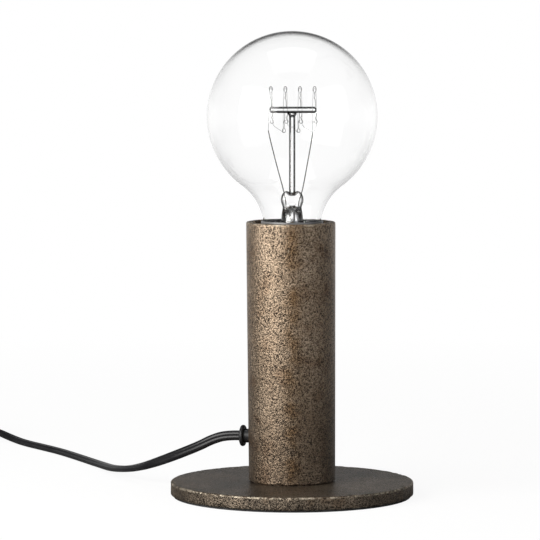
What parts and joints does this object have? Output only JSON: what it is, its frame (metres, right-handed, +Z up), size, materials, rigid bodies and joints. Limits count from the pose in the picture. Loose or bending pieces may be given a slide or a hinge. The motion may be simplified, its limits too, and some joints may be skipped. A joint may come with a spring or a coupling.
{
  "type": "table lamp",
  "caption": "Bare bulb table lamp: a clear globe bulb in the mouth of a round cast column on a disc base, with a cord, in-line switch and plug.",
  "frame": {"origin": "centre of the underside of the base", "axes": "+Z up along the column's axis; the picture looks along +Y and the cord leaves to -X"},
  "size_m": [0.3818, 0.3756, 0.2596],
  "materials": {
    "black_pad": "matte felt-backed pad",
    "bronze_cast": "aged bronze lacquer on a cast surface",
    "zinc_steel": "zinc-plated steel",
    "black_rubber": "semi-gloss",
    "black_phenolic": "satin phenolic",
    "white_ceramic": "unglazed",
    "brass_sheet": "bright sheet brass",
    "clear_glass": "clear",
    "pale_cement": "matte",
    "black_glass": "gloss",
    "solder_tin": "soldered tip",
    "dark_wire": "fine dark wire",
    "black_cord": "satin flat two-core cord",
    "wire_jacket": "core insulation",
    "black_plastic": "satin moulding",
    "nickel_pins": "nickel-plated brass"
  },
  "bodies": {
    "lamp": {"base_pad": "black_pad", "base_disc": "bronze_cast", "base_screws": "zinc_steel", "column_tube": "bronze_cast", "cord_grommet": "black_rubber", "holder_plate": "zinc_steel", "plate_screws": "zinc_steel", "nipple": "zinc_steel", "nipple_nuts": "zinc_steel", "holder_cup": "black_phenolic", "holder_insert": "white_ceramic", "terminal_screws": "zinc_steel", "holder_skirt": "black_phenolic", "screw_shell": "brass_sheet", "centre_contact": "brass_sheet", "cord_to_switch": "black_cord", "cord_to_coil": "black_cord", "cord_to_plug": "black_cord", "inner_cord": "black_cord", "wire_neutral": "wire_jacket", "wire_live": "wire_jacket", "cord_coil": "black_cord", "coil_tie": "black_plastic", "switch_base": "black_plastic", "switch_cover": "black_plastic", "switch_screws": "zinc_steel", "switch_contacts": "brass_sheet", "rocker_pin": "zinc_steel", "plug_body": "black_plastic", "plug_pins": "nickel_pins"},
    "bulb_lift_carrier": {"tip_contact": "solder_tin"},
    "bulb": {"bulb_glass": "clear_glass", "bulb_cap": "brass_sheet", "cap_cement": "pale_cement", "cap_insulator": "black_glass", "lead_neutral": "dark_wire", "lead_live": "dark_wire", "stem_glass": "clear_glass", "arbor_rod": "clear_glass", "cross_bar": "clear_glass", "exhaust_tube": "clear_glass", "upper_hooks": "dark_wire", "lower_hooks": "dark_wire", "filament": "dark_wire"},
    "rocker": {"switch_rocker": "black_plastic"}
  },
  "joints": [
    {"name": "bulb_turn", "type": "hinge", "parent": "bulb_lift_carrier", "child": "bulb", "pos_m": [0, 0, 0.18], "axis": [0, 0, 1], "range_deg": [0, 1170]},
    {"name": "bulb_lift", "type": "slide", "parent": "lamp", "child": "bulb_lift_carrier", "axis": [0, 0, 1], "range_m": [0, 0.0118]},
    {"name": "rocker_tilt", "type": "hinge", "parent": "lamp", "child": "rocker", "pos_m": [-0.21, 0.268, 0.012], "axis": [-0.7071, -0.7071, 0], "range_deg": [-18, 0]}
  ],
  "couplings": [
    {"joint": "bulb_lift", "follows": "bulb_turn", "m_per_rad": 0.00057757}
  ]
}
